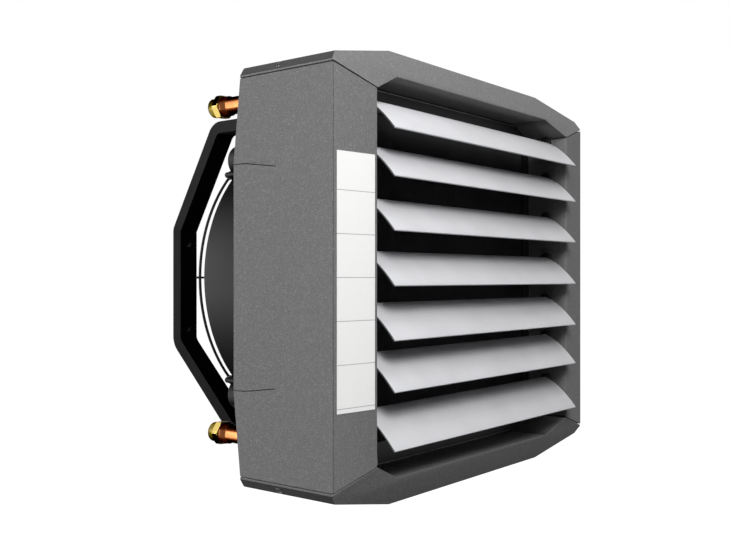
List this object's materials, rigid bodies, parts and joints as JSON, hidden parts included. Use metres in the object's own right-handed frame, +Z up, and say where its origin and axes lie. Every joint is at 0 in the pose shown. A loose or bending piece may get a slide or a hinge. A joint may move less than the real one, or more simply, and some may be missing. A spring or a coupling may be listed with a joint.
{
  "type": "water fan heater with bracket",
  "caption": "Water-fed fan heater: grey foam casing with tilting silver louvres, a rear fan duct, copper pipe connections and a black swivel bracket for a wall or ceiling.",
  "frame": {"origin": "on the bracket's wall face, level with the middle of the casing's height", "axes": "+Z up, +Y into the wall, +X to the right as seen from the room; the warm air leaves towards -Y"},
  "size_m": [0.6, 0.624, 0.533],
  "materials": {
    "casing_foam": "moulded bead foam, fine speckle, matte",
    "louvre_paint": "silver grey powder coat, satin",
    "black_plastic": "moulded, fine matte",
    "shroud_plastic": "moulded, dark grey, matte",
    "bracket_paint": "black powder coat, fine texture",
    "guard_wire": "black powder coat on welded wire",
    "zinc_steel": "zinc plated",
    "plate_steel": "dark grey paint, satin",
    "coil_aluminium": "thin stamped fins, dull",
    "copper": "drawn copper tube, polished",
    "brass": "turned brass, polished",
    "label_film": "blank printed film, matte"
  },
  "bodies": {
    "bracket": {"bracket": "bracket_paint"},
    "heater": {"back_plate": "plate_steel", "blank_label": "label_film", "bottom_shell": "casing_foam", "cable_gland": "black_plastic", "coil_end_plate": "plate_steel", "coil_frame": "black_plastic", "fan_guard": "guard_wire", "fan_motor": "plate_steel", "fan_shroud": "shroud_plastic", "fin_block": "coil_aluminium", "guard_screw_1": "guard_wire", "guard_screw_2": "guard_wire", "guard_screw_3": "guard_wire", "guard_screw_4": "guard_wire", "hairpin_tubes": "copper", "pivot_bolt_bottom": "zinc_steel", "pivot_bolt_top": "zinc_steel", "pivot_bush_bottom": "black_plastic", "pivot_bush_top": "black_plastic", "pivot_nut_plate_bottom": "zinc_steel", "pivot_nut_plate_top": "zinc_steel", "return_header": "copper", "return_pipe": "copper", "return_union": "brass", "shell_screw_bottom_left": "zinc_steel", "shell_screw_bottom_right": "zinc_steel", "shell_screw_top_left": "zinc_steel", "shell_screw_top_right": "zinc_steel", "side_shell_left": "casing_foam", "side_shell_right": "casing_foam", "supply_header": "copper", "supply_pipe": "copper", "supply_union": "brass", "terminal_box": "black_plastic", "terminal_box_lid": "black_plastic", "top_shell": "casing_foam"},
    "fan_rotor": {"impeller": "black_plastic"},
    "louvre_1": {"louvre_1": "louvre_paint", "louvre_1_pin_left": "black_plastic", "louvre_1_pin_right": "black_plastic"},
    "louvre_2": {"louvre_2": "louvre_paint", "louvre_2_pin_left": "black_plastic", "louvre_2_pin_right": "black_plastic"},
    "louvre_3": {"louvre_3": "louvre_paint", "louvre_3_pin_left": "black_plastic", "louvre_3_pin_right": "black_plastic"},
    "louvre_4": {"louvre_4": "louvre_paint", "louvre_4_pin_left": "black_plastic", "louvre_4_pin_right": "black_plastic"},
    "louvre_5": {"louvre_5": "louvre_paint", "louvre_5_pin_left": "black_plastic", "louvre_5_pin_right": "black_plastic"},
    "louvre_6": {"louvre_6": "louvre_paint", "louvre_6_pin_left": "black_plastic", "louvre_6_pin_right": "black_plastic"},
    "louvre_7": {"louvre_7": "louvre_paint", "louvre_7_pin_left": "black_plastic", "louvre_7_pin_right": "black_plastic"}
  },
  "joints": [
    {"name": "bracket_swivel", "type": "hinge", "parent": "bracket", "child": "heater", "pos_m": [0, -0.507, 0], "axis": [0, 0, 1], "range_deg": [-45, 45]},
    {"name": "fan_spin", "type": "hinge", "parent": "heater", "child": "fan_rotor", "pos_m": [0, -0.367, 0], "axis": [0, 1, 0], "continuous": true},
    {"name": "louvre_1_tilt", "type": "hinge", "parent": "heater", "child": "louvre_1", "pos_m": [0, -0.573, 0.2055], "axis": [1, 0, 0], "range_deg": [-36, 30]},
    {"name": "louvre_2_tilt", "type": "hinge", "parent": "heater", "child": "louvre_2", "pos_m": [0, -0.573, 0.152], "axis": [1, 0, 0], "range_deg": [-36, 30]},
    {"name": "louvre_3_tilt", "type": "hinge", "parent": "heater", "child": "louvre_3", "pos_m": [0, -0.573, 0.0915], "axis": [1, 0, 0], "range_deg": [-36, 30]},
    {"name": "louvre_4_tilt", "type": "hinge", "parent": "heater", "child": "louvre_4", "pos_m": [0, -0.573, 0.03], "axis": [1, 0, 0], "range_deg": [-36, 30]},
    {"name": "louvre_5_tilt", "type": "hinge", "parent": "heater", "child": "louvre_5", "pos_m": [0, -0.573, -0.031], "axis": [1, 0, 0], "range_deg": [-36, 30]},
    {"name": "louvre_6_tilt", "type": "hinge", "parent": "heater", "child": "louvre_6", "pos_m": [0, -0.573, -0.0885], "axis": [1, 0, 0], "range_deg": [-36, 30]},
    {"name": "louvre_7_tilt", "type": "hinge", "parent": "heater", "child": "louvre_7", "pos_m": [0, -0.573, -0.154], "axis": [1, 0, 0], "range_deg": [-36, 30]}
  ]
}
